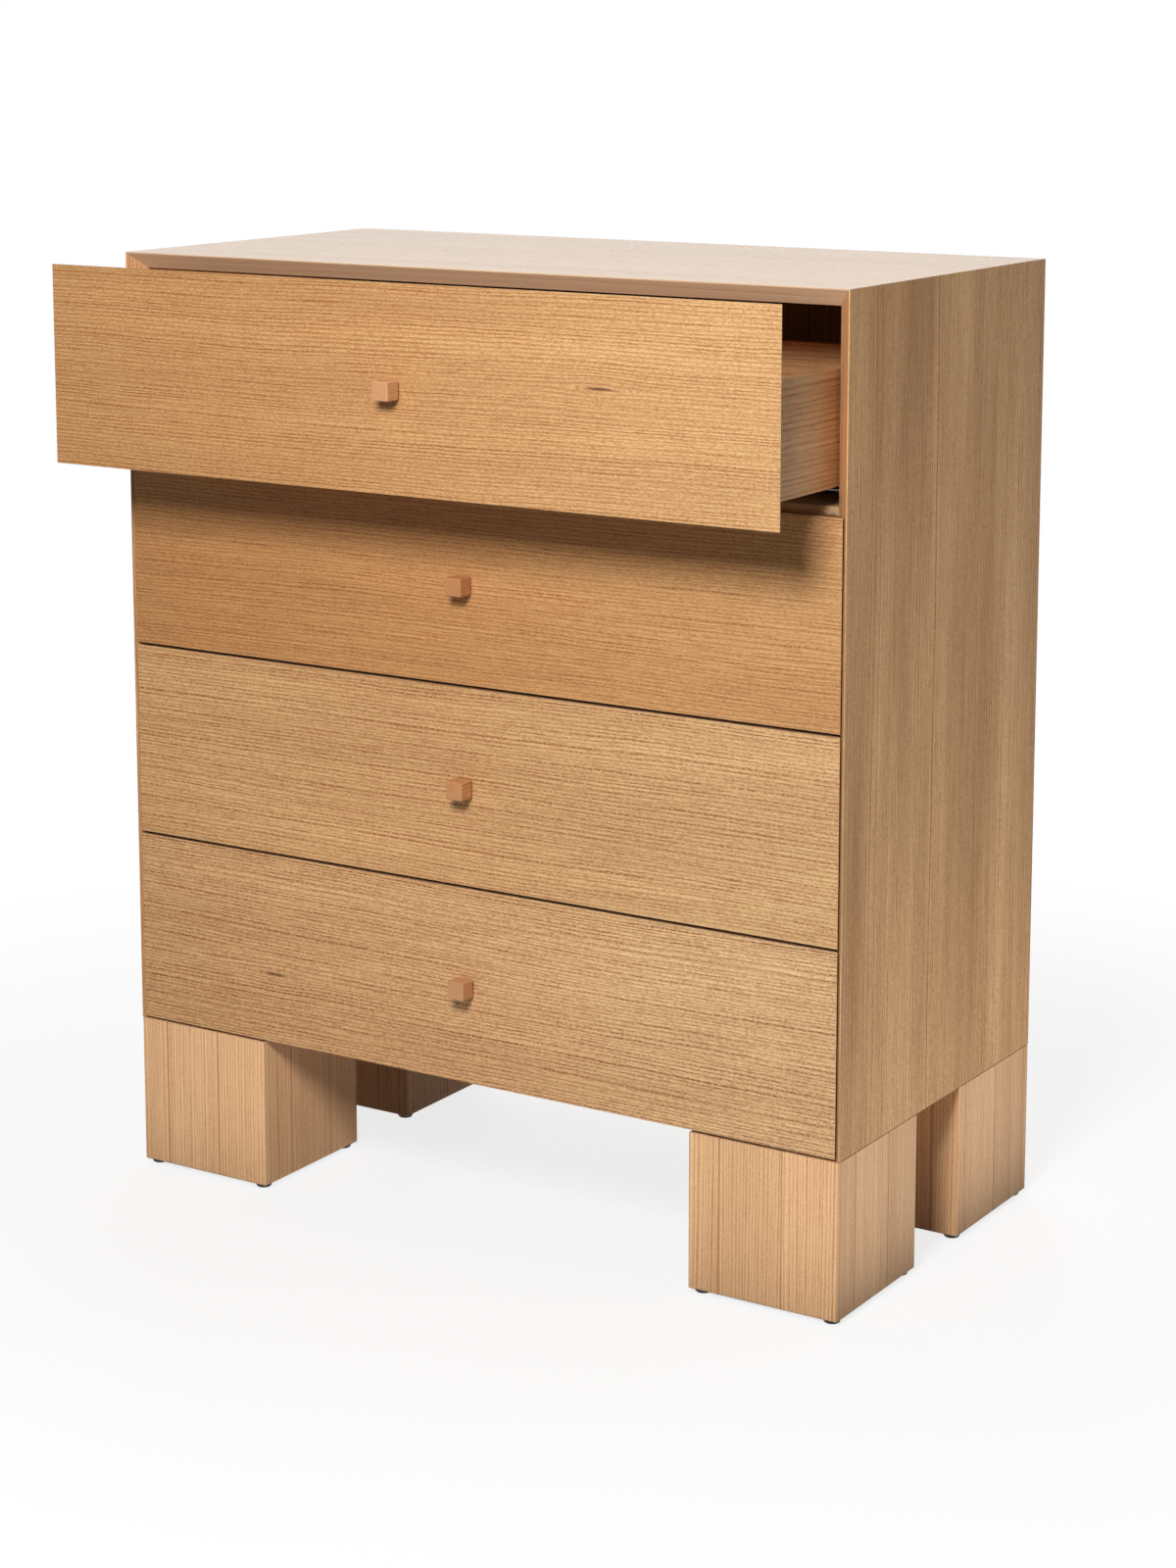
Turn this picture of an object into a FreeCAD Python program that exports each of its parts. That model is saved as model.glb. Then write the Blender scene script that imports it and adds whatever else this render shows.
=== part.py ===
import FreeCAD
import Part
import math
import os

# A chest of four drawers on square block legs.
# Origin: centre of the case's plan, on the floor. X runs to the right, Y to the back, Z up. Millimetres.

# Case
case_width = 914.0
case_depth = 457.0
case_height = 889.0
board = 18.0
edge_flat = 1.2
back_thickness = 6.0
back_lap = 9.0
back_play = 0.5
tongue_length = 6.0
tongue_thickness = 6.0

# Rails between the drawers
rail_height = 12.0
rail_depth = 70.0
rail_gap = 2.0
tenon_length = 10.0
tenon_thickness = 8.0
tenon_shoulder = 9.0

# Legs, their plates and glides
leg_sides = 4
leg_size = 177.0
leg_height = 172.0
leg_wall = 22.0
leg_ease = 1.0
shadow_gap = 1.0
plate_thickness = 18.0
bolt_diameter = 8.0
bolt_bite = 14.0
bolt_head_sides = 6
bolt_head_across = 13.0
bolt_head_height = 5.3
bolt_play = 0.3
glide_diameter = 18.0
glide_height = 5.0
glide_taper = 1.4
glide_inset = 12.0

# Drawer fronts
drawer_count = 4
front_thickness = 18.0
front_flat = 0.8
bevel_gap = 2.8
drawer_gap = 3.3
bottom_reveal = 2.2
top_drawer_open = 128.0

# Drawer boxes
box_clearance = 5.0
box_board = 13.0
box_lift = 24.0
box_height = 118.0
box_length = 350.0
bottom_thickness = 6.0
bottom_recess = 13.0
groove_depth = 6.0
groove_play = 0.2
tail_count = 3
tail_width_share = 0.58
tail_flare = 1.8

# Knobs
knob_size = 20.0
knob_depth = 20.0
knob_ease = 0.8
neck_length = 2.5
neck_size = 12.0
screw_diameter = 4.0
screw_bite = 11.0
screw_play = 0.15
head_diameter = 9.0
head_height = 2.6

# Runners under the drawers and the clips that lock them
runner_sheet = 1.5
runner_setback = 3.0
runner_side_gap = 2.1
bearing_gap = 0.4
lip_gap = 1.2
web_drop = 4.5
flange_height = 32.0
middle_width = 18.0
middle_travel_share = 0.5
hook_width = 14.0
hook_height = 24.0
hook_tab_size = 5.0
hook_tab_length = 8.0
hook_tab_play = 0.2
clip_length = 62.0
clip_width = 34.0
clip_body_width = 16.0
clip_lever_length = 26.0
clip_height = 10.5
clip_ease = 3.0

# How far a cutting shape runs past the face that it cuts
overrun = 5.0

# Degrees
full_turn = 360

# Places worked out from the sizes above
X = FreeCAD.Vector(1, 0, 0)
Y = FreeCAD.Vector(0, 1, 0)
Z = FreeCAD.Vector(0, 0, 1)
x_out = case_width / 2
x_in = x_out - board
y_front = -case_depth / 2
y_back = case_depth / 2
y_panel_back = y_back - back_thickness
y_rail = y_front + front_thickness + rail_gap
z_case = glide_height + leg_height
z_top = z_case + case_height
z_in = z_top - board
bevel = board - edge_flat
reveal = edge_flat + front_flat + bevel_gap
fronts_height = case_height - bottom_reveal - reveal - (drawer_count - 1) * drawer_gap
front_height = fronts_height / drawer_count
x_box = x_in - box_clearance
x_box_in = x_box - box_board
y_box = y_front + front_thickness
y_box_in = y_box + box_board
y_box_back = y_box + box_length
z_under = box_lift + bottom_recess
z_floor = z_under + bottom_thickness
z_box_top = box_lift + box_height


def vector(x, y, z):
    return FreeCAD.Vector(x, y, z)


def block(low, high):
    """A box between two opposite corners."""
    size = vector(*high) - vector(*low)
    return Part.makeBox(size.x, size.y, size.z, vector(*low))


def prism(points, run):
    """A flat outline drawn out along run."""
    corners = [vector(*point) for point in points]
    return Part.Face(Part.makePolygon(corners + corners[:1])).extrude(run)


def rod(diameter, length, start, along):
    return Part.makeCylinder(diameter / 2, length, start, along)


def moved(shape, offset):
    copy = shape.copy()
    copy.translate(offset)
    return copy


def mirrored(shape):
    """The same piece on the other side of the chest."""
    return shape.mirror(vector(0, 0, 0), X)


def pair(shape):
    return [shape, mirrored(shape)]


def front_bottom(number):
    """Height of the lower edge of a drawer front; drawer 1 is the top one."""
    return z_case + bottom_reveal + (drawer_count - number) * (front_height + drawer_gap)


# Case panels

def rail_tenon(z):
    low = (-x_in - tenon_length, y_rail + tenon_shoulder, z - tenon_thickness / 2)
    high = (x_in + tenon_length, y_rail + rail_depth - tenon_shoulder, z + tenon_thickness / 2)
    return block(low, high)


def rail(z):
    body = block((-x_in, y_rail, z - rail_height / 2), (x_in, y_rail + rail_depth, z + rail_height / 2))
    return body.fuse(rail_tenon(z)).removeSplitter()


def bottom_tongue():
    z = z_case + board / 2
    low = (-x_in - tongue_length, y_rail, z - tongue_thickness / 2)
    return block(low, (x_in + tongue_length, y_panel_back, z + tongue_thickness / 2))


def back_recess():
    low = (-x_in - back_lap, y_panel_back, z_case - overrun)
    return block(low, (x_in + back_lap, y_back + overrun, z_in + back_lap))


rail_levels = [front_bottom(number) - drawer_gap / 2 for number in range(1, drawer_count)]


def side_panel():
    """The right side: bevelled front edge, mitred top, rebate for the back."""
    plan = [
        (x_out, y_front, z_case),
        (x_out, y_back, z_case),
        (x_in, y_back, z_case),
        (x_in, y_front + bevel, z_case),
        (x_out - edge_flat, y_front, z_case),
    ]
    end = [
        (x_out, y_front, z_case),
        (x_out, y_front, z_top),
        (x_in, y_front, z_in),
        (x_in, y_front, z_case),
    ]
    panel = prism(plan, Z * case_height).common(prism(end, Y * case_depth))
    return panel.cut([back_recess(), bottom_tongue()] + [rail_tenon(z) for z in rail_levels])


def top_panel():
    section = [
        (-x_out, y_front, z_top),
        (-x_out, y_back, z_top),
        (-x_out, y_back, z_in),
        (-x_out, y_front + bevel, z_in),
        (-x_out, y_front, z_top - edge_flat),
    ]
    end = [
        (-x_out, y_front, z_top),
        (x_out, y_front, z_top),
        (x_in, y_front, z_in),
        (-x_in, y_front, z_in),
    ]
    return prism(section, X * case_width).common(prism(end, Y * case_depth)).cut(back_recess())


leg_corners = {
    "front_left": (-x_out, y_front),
    "front_right": (x_out - leg_size, y_front),
    "back_left": (-x_out, y_back - leg_size),
    "back_right": (x_out - leg_size, y_back - leg_size),
}
leg_middle = leg_size / 2


def at_legs(shapes):
    """Copies of what belongs to one leg, under all four corners of the case."""
    return [moved(shape, vector(x, y, 0)) for x, y in leg_corners.values() for shape in shapes]


def bolt_hole():
    start = vector(leg_middle, leg_middle, z_case - plate_thickness)
    return rod(bolt_diameter + 2 * bolt_play, plate_thickness + bolt_bite, start, Z)


def bottom_panel():
    panel = block((-x_in, y_rail, z_case), (x_in, y_panel_back, z_case + board)).fuse(bottom_tongue())
    return panel.removeSplitter().cut(at_legs([bolt_hole()]))


def back_panel():
    x = x_in + back_lap - back_play
    return block((-x, y_panel_back, z_case), (x, y_back, z_in + back_lap - back_play))


# One leg, with a corner of its plan at the origin

def leg_boards():
    """Four boards mitred round a hollow, just short of the case, all but the top edges eased."""
    leg_top = z_case - shadow_gap
    shell = block((0, 0, glide_height), (leg_size, leg_size, leg_top))
    eased = [edge for edge in shell.Edges if edge.BoundBox.ZMin < leg_top - leg_ease]
    shell = shell.makeChamfer(leg_ease, eased)
    far = leg_size - leg_wall
    wall = prism(
        [(0, 0, 0), (leg_size, 0, 0), (far, leg_wall, 0), (leg_wall, leg_wall, 0)],
        Z * (z_case + overrun),
    )
    boards = []
    for side in range(leg_sides):
        wedge = wall.copy()
        wedge.rotate(vector(leg_middle, leg_middle, 0), Z, side * full_turn / leg_sides)
        boards.append(shell.common(wedge).Solids[0])
    return boards


def leg_plate():
    far = leg_size - leg_wall
    return block((leg_wall, leg_wall, z_case - plate_thickness), (far, far, z_case)).cut(bolt_hole())


def leg_bolt():
    """A hexagon-headed bolt, driven up through the plate into the case."""
    seat = vector(leg_middle, leg_middle, z_case - plate_thickness)
    corner = vector(bolt_head_across / 2 / math.cos(math.pi / bolt_head_sides), 0, 0)
    turns = [FreeCAD.Rotation(Z, side * full_turn / bolt_head_sides) for side in range(bolt_head_sides)]
    head = prism([turn.multVec(corner) + seat for turn in turns], -Z * bolt_head_height)
    return head.fuse(rod(bolt_diameter, plate_thickness + bolt_bite, seat, Z))


def glides():
    """Four round glides that taper towards the floor, one at each corner."""
    disc = Part.makeCone(glide_diameter / 2 - glide_taper, glide_diameter / 2, glide_height)
    places = (glide_inset, leg_size - glide_inset)
    return [moved(disc, vector(x, y, 0)) for x in places for y in places]


# Drawer pieces, closed, with the front's lower edge at Z = 0

z_knob = front_height / 2
screw_length = box_board + front_thickness + neck_length + screw_bite


def knob_screw_hole():
    """From the inner face of the box front to the screw's end in the knob."""
    return rod(screw_diameter + 2 * screw_play, screw_length, vector(0, y_box_in, z_knob), -Y)


def drawer_front(top_bevelled):
    """A board with bevelled ends; the top drawer's upper edge is bevelled too."""
    x = x_out - reveal
    slope = front_thickness - front_flat
    plan = [
        (-x, y_front, 0),
        (x, y_front, 0),
        (x, y_front + front_flat, 0),
        (x - slope, y_box, 0),
        (slope - x, y_box, 0),
        (-x, y_front + front_flat, 0),
    ]
    front = prism(plan, Z * front_height)
    if top_bevelled:
        waste = [
            (-x, y_front + front_flat, front_height),
            (-x, y_box, front_height - slope),
            (-x, y_box, front_height),
        ]
        front = front.cut(prism(waste, X * 2 * x))
    return front.cut(knob_screw_hole())


def tail_outline(y_root, y_end, low, high):
    """Points up the end of a drawer side: dovetails narrow at their root and wide at the end."""
    pitch = (high - low) / tail_count
    half = pitch * tail_width_share / 2
    points = []
    for number in range(tail_count):
        middle = low + (number + 1 / 2) * pitch
        points += [
            (y_root, middle - half),
            (y_end, middle - half - tail_flare),
            (y_end, middle + half + tail_flare),
            (y_root, middle + half),
        ]
    return points


def drawer_side():
    """The right side, dovetailed at both ends and grooved for the bottom."""
    y_root = y_box_back - box_board
    front_end = tail_outline(y_box_in, y_box, box_lift, z_box_top)
    back_end = tail_outline(y_root, y_box_back, z_floor, z_box_top)
    outline = [(y_box_in, box_lift)] + front_end + [(y_box_in, z_box_top), (y_root, z_box_top)]
    outline += back_end[::-1] + [(y_root, z_floor), (y_box_back, z_floor), (y_box_back, box_lift)]
    side = prism([(x_box_in, y, z) for y, z in outline], X * box_board)
    return side.cut(bottom_groove())


def bottom_groove():
    """The space that the drawer's bottom slides into from the back."""
    low = (-x_box_in - groove_depth, y_box_in - groove_depth, z_under)
    return block(low, (x_box_in + groove_depth, y_box_back + overrun, z_floor))


def end_board(y, z_low, sides):
    """A board across the drawer, cut out for the tails of both sides."""
    low = (-x_box, y, z_low)
    return block(low, (x_box, y + box_board, z_box_top)).cut(sides)


def box_front(sides):
    return end_board(y_box, box_lift, sides).cut([bottom_groove(), knob_screw_hole()])


def box_back(sides):
    return end_board(y_box_back - box_board, z_floor, sides).cut(pair(hook_tab(hook_tab_play)))


def box_bottom():
    x = x_box_in + groove_depth - groove_play
    return block((-x, y_box_in - groove_depth + groove_play, z_under), (x, y_box_back, z_floor))


def knob():
    """A square block with eased edges on a short square neck, bored for its screw."""
    half = knob_size / 2
    y = y_front - neck_length
    body = block((-half, y - knob_depth, z_knob - half), (half, y, z_knob + half))
    body = body.makeChamfer(knob_ease, body.Edges)
    half = neck_size / 2
    neck = block((-half, y, z_knob - half), (half, y_front, z_knob + half))
    return body.fuse(neck).cut(knob_screw_hole())


def knob_screw():
    """Its head seats on the inner face of the box front."""
    seat = vector(0, y_box_in, z_knob)
    return rod(head_diameter, head_height, seat, Y).fuse(rod(screw_diameter, screw_length, seat, -Y))


# Runner sections, on the right, in the same place as the drawer pieces

half_middle = middle_width / 2
half_track = half_middle + bearing_gap
half_outer = half_track + runner_sheet
x_track = x_box_in - runner_side_gap - half_outer
y_run = y_box_in + runner_setback
run_length = y_box_back - y_run
z_web = box_lift - web_drop
z_lips = (z_web + z_under) / 2
z_hook = z_floor + hook_height / 2


def cabinet_member():
    """Screwed to the case side: a flange, a web that passes under the drawer, and two lips."""
    z_low = z_web - runner_sheet
    z_lip = z_lips - lip_gap / 2
    section = [
        (x_in, z_low),
        (x_in, z_low + flange_height),
        (x_in - runner_sheet, z_low + flange_height),
        (x_in - runner_sheet, z_web),
        (x_track + half_outer, z_web),
        (x_track + half_outer, z_lip),
        (x_track + half_track, z_lip),
        (x_track + half_track, z_web),
        (x_track - half_track, z_web),
        (x_track - half_track, z_lip),
        (x_track - half_outer, z_lip),
        (x_track - half_outer, z_low),
    ]
    return prism([(x, y_run, z) for x, z in section], Y * run_length)


def middle_member():
    """A tube that runs in both of the other members."""
    z_low = z_web + bearing_gap
    z_high = z_under - runner_sheet - bearing_gap
    low = (x_track - half_middle, y_run, z_low)
    tube = block(low, (x_track + half_middle, y_run + run_length, z_high))
    half_bore = half_middle - runner_sheet
    low = (x_track - half_bore, y_run - overrun, z_low + runner_sheet)
    high = (x_track + half_bore, y_run + run_length + overrun, z_high - runner_sheet)
    return tube.cut(block(low, high))


def hook_tab(play):
    """The tab that is pressed out of the hook into the drawer's back."""
    half = hook_tab_size / 2 + play
    low = (x_track - half, y_box_back - hook_tab_length - play, z_hook - half)
    return block(low, (x_track + half, y_box_back, z_hook + half))


def drawer_member():
    """A channel under the drawer's bottom, with a hook and its tab behind the back board."""
    z_lip = z_lips + lip_gap / 2
    section = [
        (x_track - half_outer, z_lip),
        (x_track - half_outer, z_under),
        (x_track + half_outer, z_under),
        (x_track + half_outer, z_lip),
        (x_track + half_track, z_lip),
        (x_track + half_track, z_under - runner_sheet),
        (x_track - half_track, z_under - runner_sheet),
        (x_track - half_track, z_lip),
    ]
    channel = prism([(x, y_run, z) for x, z in section], Y * run_length)
    half = hook_width / 2
    low = (x_track - half, y_box_back, z_under - runner_sheet)
    hook = block(low, (x_track + half, y_box_back + runner_sheet, z_floor + hook_height))
    return channel.fuse([hook, hook_tab(0)]).removeSplitter()


def clip():
    """A locking clip behind the box front: a body along the runner and a finger lever beside it."""
    x = x_track - half_outer
    z = z_under - clip_height
    plan = [
        (x, y_box_in, z),
        (x, y_box_in + clip_length, z),
        (x - clip_body_width, y_box_in + clip_length, z),
        (x - clip_body_width, y_box_in + clip_lever_length, z),
        (x - clip_width, y_box_in + clip_lever_length, z),
        (x - clip_width, y_box_in, z),
    ]
    body = prism(plan, Z * clip_height)
    uprights = [
        edge for edge in body.Edges
        if abs(edge.tangentAt(edge.FirstParameter).z) > 1 / 2 and edge.CenterOfMass.x < x - clip_ease
    ]
    return body.makeChamfer(clip_ease, uprights)


# The whole chest, one entry for each node

nodes = {
    "top_panel": [top_panel()],
    "bottom_panel": [bottom_panel()],
    "right_panel": [side_panel()],
    "left_panel": [mirrored(side_panel())],
    "back_panel": [back_panel()],
}
for name, z in zip(("upper_rail", "middle_rail", "lower_rail"), rail_levels):
    nodes[name] = [rail(z)]
one_leg = leg_boards()
for name, (x, y) in leg_corners.items():
    nodes["leg_" + name] = [moved(shape, vector(x, y, 0)) for shape in one_leg]
nodes["leg_plates"] = at_legs([leg_plate()])
nodes["leg_bolts"] = at_legs([leg_bolt()])
nodes["glides"] = at_legs(glides())

sides = pair(drawer_side())
drawer_pieces = {
    "box_front": [box_front(sides)],
    "right_side": [sides[0]],
    "left_side": [sides[1]],
    "back": [box_back(sides)],
    "bottom": [box_bottom()],
    "knob": [knob()],
    "knob_screw": [knob_screw()],
    "runners": pair(drawer_member()),
    "clips": pair(clip()),
}
fixed_members = pair(cabinet_member())
middle_members = pair(middle_member())
nodes["cabinet_runners"] = []
for number in range(1, drawer_count + 1):
    top_drawer = number == 1
    pulled = top_drawer_open if top_drawer else 0
    level = Z * front_bottom(number)
    place = level - Y * pulled
    half_way = level - Y * (pulled * middle_travel_share)
    drawer = "drawer_%d_" % number
    nodes[drawer + "front"] = [moved(drawer_front(top_drawer), place)]
    for piece, shapes in drawer_pieces.items():
        nodes[drawer + piece] = [moved(shape, place) for shape in shapes]
    nodes[drawer + "middle_runners"] = [moved(shape, half_way) for shape in middle_members]
    nodes["cabinet_runners"] += [moved(shape, level) for shape in fixed_members]

os.makedirs("parts", exist_ok=True)
for name, shapes in nodes.items():
    whole = shapes[0] if len(shapes) == 1 else Part.makeCompound(shapes)
    whole.exportStep("parts/%s.step" % name)
    print(name, "has", len(whole.Solids), "solids, valid:", whole.isValid())
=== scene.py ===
import math

import bmesh
import bpy
from mathutils import Matrix, Vector


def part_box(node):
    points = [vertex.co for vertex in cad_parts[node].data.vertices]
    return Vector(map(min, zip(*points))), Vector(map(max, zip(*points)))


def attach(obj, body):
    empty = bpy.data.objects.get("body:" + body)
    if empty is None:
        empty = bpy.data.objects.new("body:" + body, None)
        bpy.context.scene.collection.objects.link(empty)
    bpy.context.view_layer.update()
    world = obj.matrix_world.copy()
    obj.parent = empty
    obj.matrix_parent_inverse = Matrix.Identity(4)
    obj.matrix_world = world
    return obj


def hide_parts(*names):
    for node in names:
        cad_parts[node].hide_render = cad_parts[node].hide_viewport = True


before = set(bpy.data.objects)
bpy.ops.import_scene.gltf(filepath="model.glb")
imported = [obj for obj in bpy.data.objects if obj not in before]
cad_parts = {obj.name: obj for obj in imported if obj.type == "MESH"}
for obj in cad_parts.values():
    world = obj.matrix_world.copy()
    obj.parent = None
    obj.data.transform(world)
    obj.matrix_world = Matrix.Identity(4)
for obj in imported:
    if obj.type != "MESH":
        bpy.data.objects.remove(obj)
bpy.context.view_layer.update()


# The case panels are boards faced with oak veneer and sealed with a thin matt lacquer.
# The top and sides are mitred where they meet and bevelled inwards along the front, and
# the bottom sits between the sides on tongues. The grain runs across the top and up the sides.

def feed(tree, entry, value):
    """Links a socket to an input, or sets a plain number, vector or colour on it."""
    if isinstance(value, bpy.types.NodeSocket):
        tree.links.new(value, entry)
    else:
        entry.default_value = value


def add(tree, kind, inputs, **settings):
    """Adds a shader node, with its settings and what goes into it."""
    made = tree.nodes.new("ShaderNode" + kind)
    for name, setting in settings.items():
        setattr(made, name, setting)
    for name, value in inputs.items():
        feed(tree, made.inputs[name], value)
    return made


def calc(tree, operation, *terms, kind="Math"):
    """A sum on numbers, or on vectors where kind is VectorMath."""
    made = tree.nodes.new("ShaderNode" + kind)
    made.operation = operation
    for entry, term in zip(made.inputs, terms):
        feed(tree, entry, term)
    gives_number = kind == "Math" or operation in ("DOT_PRODUCT", "LENGTH")
    return made.outputs["Value" if gives_number else "Vector"]


def vector_calc(tree, operation, *terms):
    """A sum on vectors."""
    return calc(tree, operation, *terms, kind="VectorMath")


def split(tree, vector):
    """The X, Y and Z of a vector."""
    return add(tree, "SeparateXYZ", {"Vector": vector}).outputs


def join(tree, x, y, z):
    """The vector with this X, Y and Z."""
    return add(tree, "CombineXYZ", {"X": x, "Y": y, "Z": z}).outputs["Vector"]


def own_place(tree, output="Object"):
    """A point of the surface in the piece's own coordinates, or its Normal."""
    return tree.nodes.new("ShaderNodeTexCoord").outputs[output]


def eased(tree, value, low, high, to_low=0.0, to_high=1.0):
    """A smooth step of value from low to high."""
    limits = {"Value": value, "From Min": low, "From Max": high, "To Min": to_low, "To Max": to_high}
    return add(tree, "MapRange", limits, interpolation_type="SMOOTHSTEP").outputs["Result"]


def blend(tree, share, first, second, way="MIX"):
    """Mixes two colours. A Mix node keeps its colour sockets at places 6 and 7, and their result at 2."""
    made = tree.nodes.new("ShaderNodeMix")
    made.data_type = "RGBA"
    made.blend_type = way
    for place, value in ((0, share), (6, first), (7, second)):
        feed(tree, made.inputs[place], value)
    return made.outputs[2]


def cloud(tree, vector, stretch, detail=2.0):
    """Soft noise about 0.5, with as many lumps to the metre along each axis as stretch says."""
    drawn = vector_calc(tree, "MULTIPLY", vector, stretch)
    return add(tree, "TexNoise", {"Vector": drawn, "Scale": 1.0, "Detail": detail}).outputs["Fac"]


def cloud_along(tree, place):
    """Soft noise about 0.5 along one line."""
    noise = add(tree, "TexNoise", {"W": place, "Scale": 1.0, "Detail": 1.0}, noise_dimensions="1D")
    return noise.outputs["Fac"]


def lot_of(tree, number):
    """An even draw from 0 to 1, the same each time for the same number."""
    return add(tree, "TexWhiteNoise", {"W": number}, noise_dimensions="1D").outputs["Value"]


def start_group(name, inputs, outputs):
    """Starts a node group. Returns its tree, what it is given and what it gives."""
    tree = bpy.data.node_groups.new(name, "ShaderNodeTree")
    for label, (kind, value) in inputs.items():
        made = tree.interface.new_socket(name=label, in_out="INPUT", socket_type="NodeSocket" + kind)
        if value is not None:
            made.default_value = value
    for label, kind in outputs.items():
        tree.interface.new_socket(name=label, in_out="OUTPUT", socket_type="NodeSocket" + kind)
    return tree, tree.nodes.new("NodeGroupInput").outputs, tree.nodes.new("NodeGroupOutput").inputs


def group_node(tree, group, inputs):
    """Places a node group in a material, with its own values. Returns what it gives."""
    made = tree.nodes.new("ShaderNodeGroup")
    made.node_tree = group
    for name, value in inputs.items():
        feed(tree, made.inputs[name], value)
    return made.outputs


def oak_figure_group():
    """Oak in three dimensions: X of Grain runs along the grain, Y across the face and Z into the board."""
    tree, given, gives = start_group(
        "oak_figure",
        {
            "Grain": ("Vector", None),
            "Ring": ("Float", 0.005),
            "Band": ("Float", 0.24),
            "Lean": ("Float", 0.4),
            "Wander": ("Float", 0.012),
            "Slant": ("Float", 0.10),
            "Rows": ("Float", 0.6),
            "Dashes": ("Float", 0.8),
            "Streaks": ("Float", 0.3),
            "Fine": ("Float", 0.30),
            "Mottle": ("Float", 0.4),
            "Matt": ("Float", 0.43),
            "Pale": ("Color", (0.70, 0.42, 0.20, 1)),
            "Dark": ("Color", (0.34, 0.17, 0.07, 1)),
        },
        {"Color": "Color", "Roughness": "Float", "Height": "Float"},
    )
    grain = given["Grain"]
    parts = split(tree, grain)

    # the rings lean into the board, bend slowly along it and shiver a little on the way
    shiver_depth = 0.0016
    bend = calc(tree, "SUBTRACT", cloud(tree, grain, (1.7, 7.0, 7.0)), 0.5)
    shiver = calc(tree, "SUBTRACT", cloud(tree, grain, (30.0, 70.0, 70.0), 1.0), 0.5)
    place = calc(tree, "MULTIPLY_ADD", parts["Z"], given["Lean"], parts["Y"])
    place = calc(tree, "MULTIPLY_ADD", bend, given["Wander"], place)
    place = calc(tree, "MULTIPLY_ADD", shiver, shiver_depth, place)

    # good and lean years, in long spells and short ones, make the rings uneven in width
    count = calc(tree, "DIVIDE", place, given["Ring"])
    for spells_per_metre, swing in ((45.0, 1.7), (150.0, 0.4)):
        drift = cloud_along(tree, calc(tree, "MULTIPLY", place, spells_per_metre))
        count = calc(tree, "MULTIPLY_ADD", drift, swing, count)

    # each ring starts with a porous band, strong or weak by the year, and ends in dense pale wood
    weakest_year = 0.62
    vigour = eased(tree, lot_of(tree, calc(tree, "FLOOR", count)), 0.0, 1.0, weakest_year, 1.0)
    phase = calc(tree, "SUBTRACT", calc(tree, "FRACT", count), 0.5)
    early = eased(tree, calc(tree, "ABSOLUTE", phase), given["Band"], 0.05)
    early = calc(tree, "MULTIPLY", early, vigour)
    fading = cloud(tree, grain, (16.0, 110.0, 110.0), 1.0)
    early = calc(tree, "MULTIPLY", early, eased(tree, fading, 0.25, 0.65, 0.65, 1.12))
    late = calc(tree, "ABSOLUTE", calc(tree, "SUBTRACT", phase, calc(tree, "ADD", given["Band"], 0.06)))
    late = eased(tree, late, 0.16, 0.0)

    # open pores lie at a slight slant to the rings, so that each row breaks into beads
    slanted = calc(tree, "MULTIPLY_ADD", parts["X"], given["Slant"], parts["Y"])
    pore_place = join(tree, parts["X"], slanted, parts["Z"])
    pores = eased(tree, cloud(tree, pore_place, (300.0, 600.0, 600.0), 1.0), 0.38, 0.58)
    unbroken = calc(tree, "SUBTRACT", 1.0, given["Dashes"])
    row = calc(tree, "MULTIPLY", early, calc(tree, "MULTIPLY_ADD", pores, given["Dashes"], unbroken))
    fleck = eased(tree, cloud(tree, pore_place, (230.0, 900.0, 900.0), 1.0), 0.48, 0.62)
    row = calc(tree, "MAXIMUM", row, calc(tree, "MULTIPLY", fleck, given["Fine"]))

    # long and short fibres streak the wood between the rows
    middling_fibre = 0.44
    long_fibre = cloud(tree, grain, (9.0, 480.0, 480.0), 3.0)
    short_fibre = cloud(tree, grain, (55.0, 900.0, 900.0), 2.0)
    fibre = calc(tree, "MULTIPLY", calc(tree, "ADD", long_fibre, short_fibre), 0.5)
    streak = calc(tree, "MULTIPLY", calc(tree, "SUBTRACT", fibre, middling_fibre), given["Streaks"])

    # the colour goes from a gleam in the dense wood to the dark of the rows
    gleam_tint = (1.12, 1.26, 1.42, 1)
    gleam = blend(tree, 1.0, given["Pale"], gleam_tint, "MULTIPLY")
    cream = calc(tree, "MULTIPLY_ADD", streak, -1.6, calc(tree, "MULTIPLY", late, 0.7))
    cream = calc(tree, "MINIMUM", calc(tree, "MAXIMUM", cream, 0.0), 1.0)
    darkness = calc(tree, "ADD", calc(tree, "MULTIPLY", row, given["Rows"]), streak)
    darkness = calc(tree, "MINIMUM", calc(tree, "MAXIMUM", darkness, 0.0), 1.0)
    color = blend(tree, cream, given["Pale"], gleam)
    color = blend(tree, darkness, color, given["Dark"])

    # slow changes of tone, which turn warmer as they darken, because green and blue fall faster
    middling_tone = 0.52
    green_fall = 1.3
    blue_fall = 1.6
    tone = cloud(tree, grain, (1.3, 16.0, 16.0), 3.0)
    shade = calc(tree, "MULTIPLY_ADD", calc(tree, "SUBTRACT", tone, middling_tone), given["Mottle"], 1.0)
    warm = join(tree, shade, calc(tree, "POWER", shade, green_fall), calc(tree, "POWER", shade, blue_fall))
    tree.links.new(blend(tree, 1.0, color, warm, "MULTIPLY"), gives["Color"])

    # the pores are rougher than the lacquer between them, and lie below it
    row_rough = 0.16
    fibre_rough = 0.08
    fibre_height = 0.25
    rough = calc(tree, "MULTIPLY_ADD", row, row_rough, given["Matt"])
    tree.links.new(calc(tree, "MULTIPLY_ADD", fibre, fibre_rough, rough), gives["Roughness"])
    closed = calc(tree, "SUBTRACT", 1.0, row)
    tree.links.new(calc(tree, "MULTIPLY_ADD", fibre, fibre_height, closed), gives["Height"])
    return tree


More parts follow.
